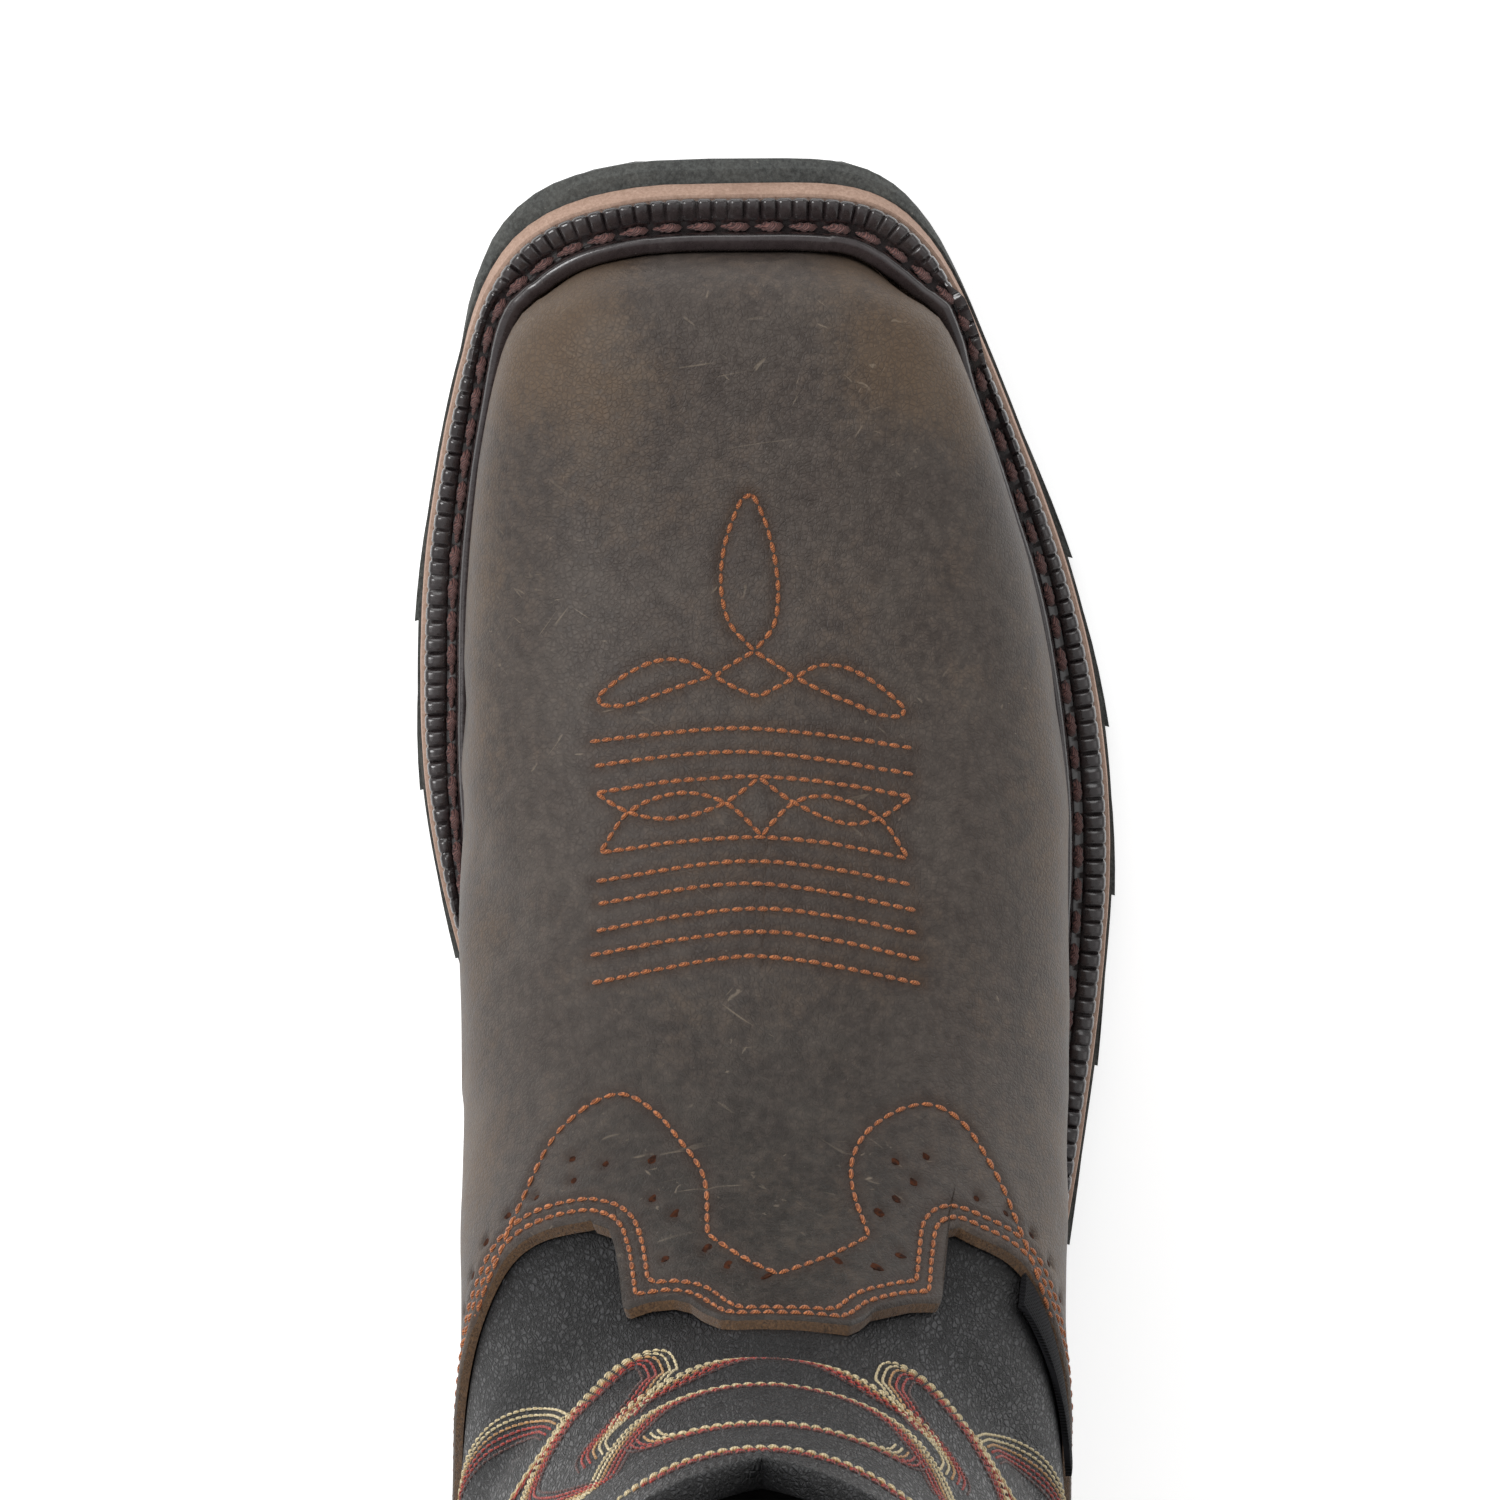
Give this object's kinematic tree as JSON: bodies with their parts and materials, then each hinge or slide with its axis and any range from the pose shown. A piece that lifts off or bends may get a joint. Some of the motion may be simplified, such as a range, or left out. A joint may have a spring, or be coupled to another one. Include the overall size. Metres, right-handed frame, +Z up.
{
  "type": "western work boot",
  "caption": "Right pull-on western work boot with a wide square toe, scalloped open shaft, storm welt, layered sole with edge lugs and a stacked block heel.",
  "frame": {"origin": "centre of the heel's resting face on the floor", "axes": "+X along the boot to the toe, +Y to the medial (inner) side, +Z up out of the shaft"},
  "size_m": [0.316, 0.1197, 0.3214],
  "materials": {
    "oiled_leather": "matt oiled pull-up leather, worn lighter at the toe",
    "black_leather": "soft tumbled black leather",
    "lining": "dark brushed lining",
    "welt_rubber": "glossy dark storm welt",
    "midsole_tan": "tan layer, matt",
    "outsole_rubber": "dark rubber with a rough edge",
    "woven_black": "plain woven tape"
  },
  "bodies": {
    "root": {"outsole": "outsole_rubber", "heel": "outsole_rubber", "midsole": "midsole_tan", "insole": "lining", "welt": "welt_rubber", "upper": "black_leather", "vamp": "oiled_leather", "heel_counter": "oiled_leather", "collar_binding": "black_leather", "side_tab": "woven_black", "side_seam_medial": "black_leather", "side_seam_lateral": "black_leather", "pull_strap_medial": "black_leather", "pull_strap_lateral": "black_leather"}
  },
  "joints": []
}
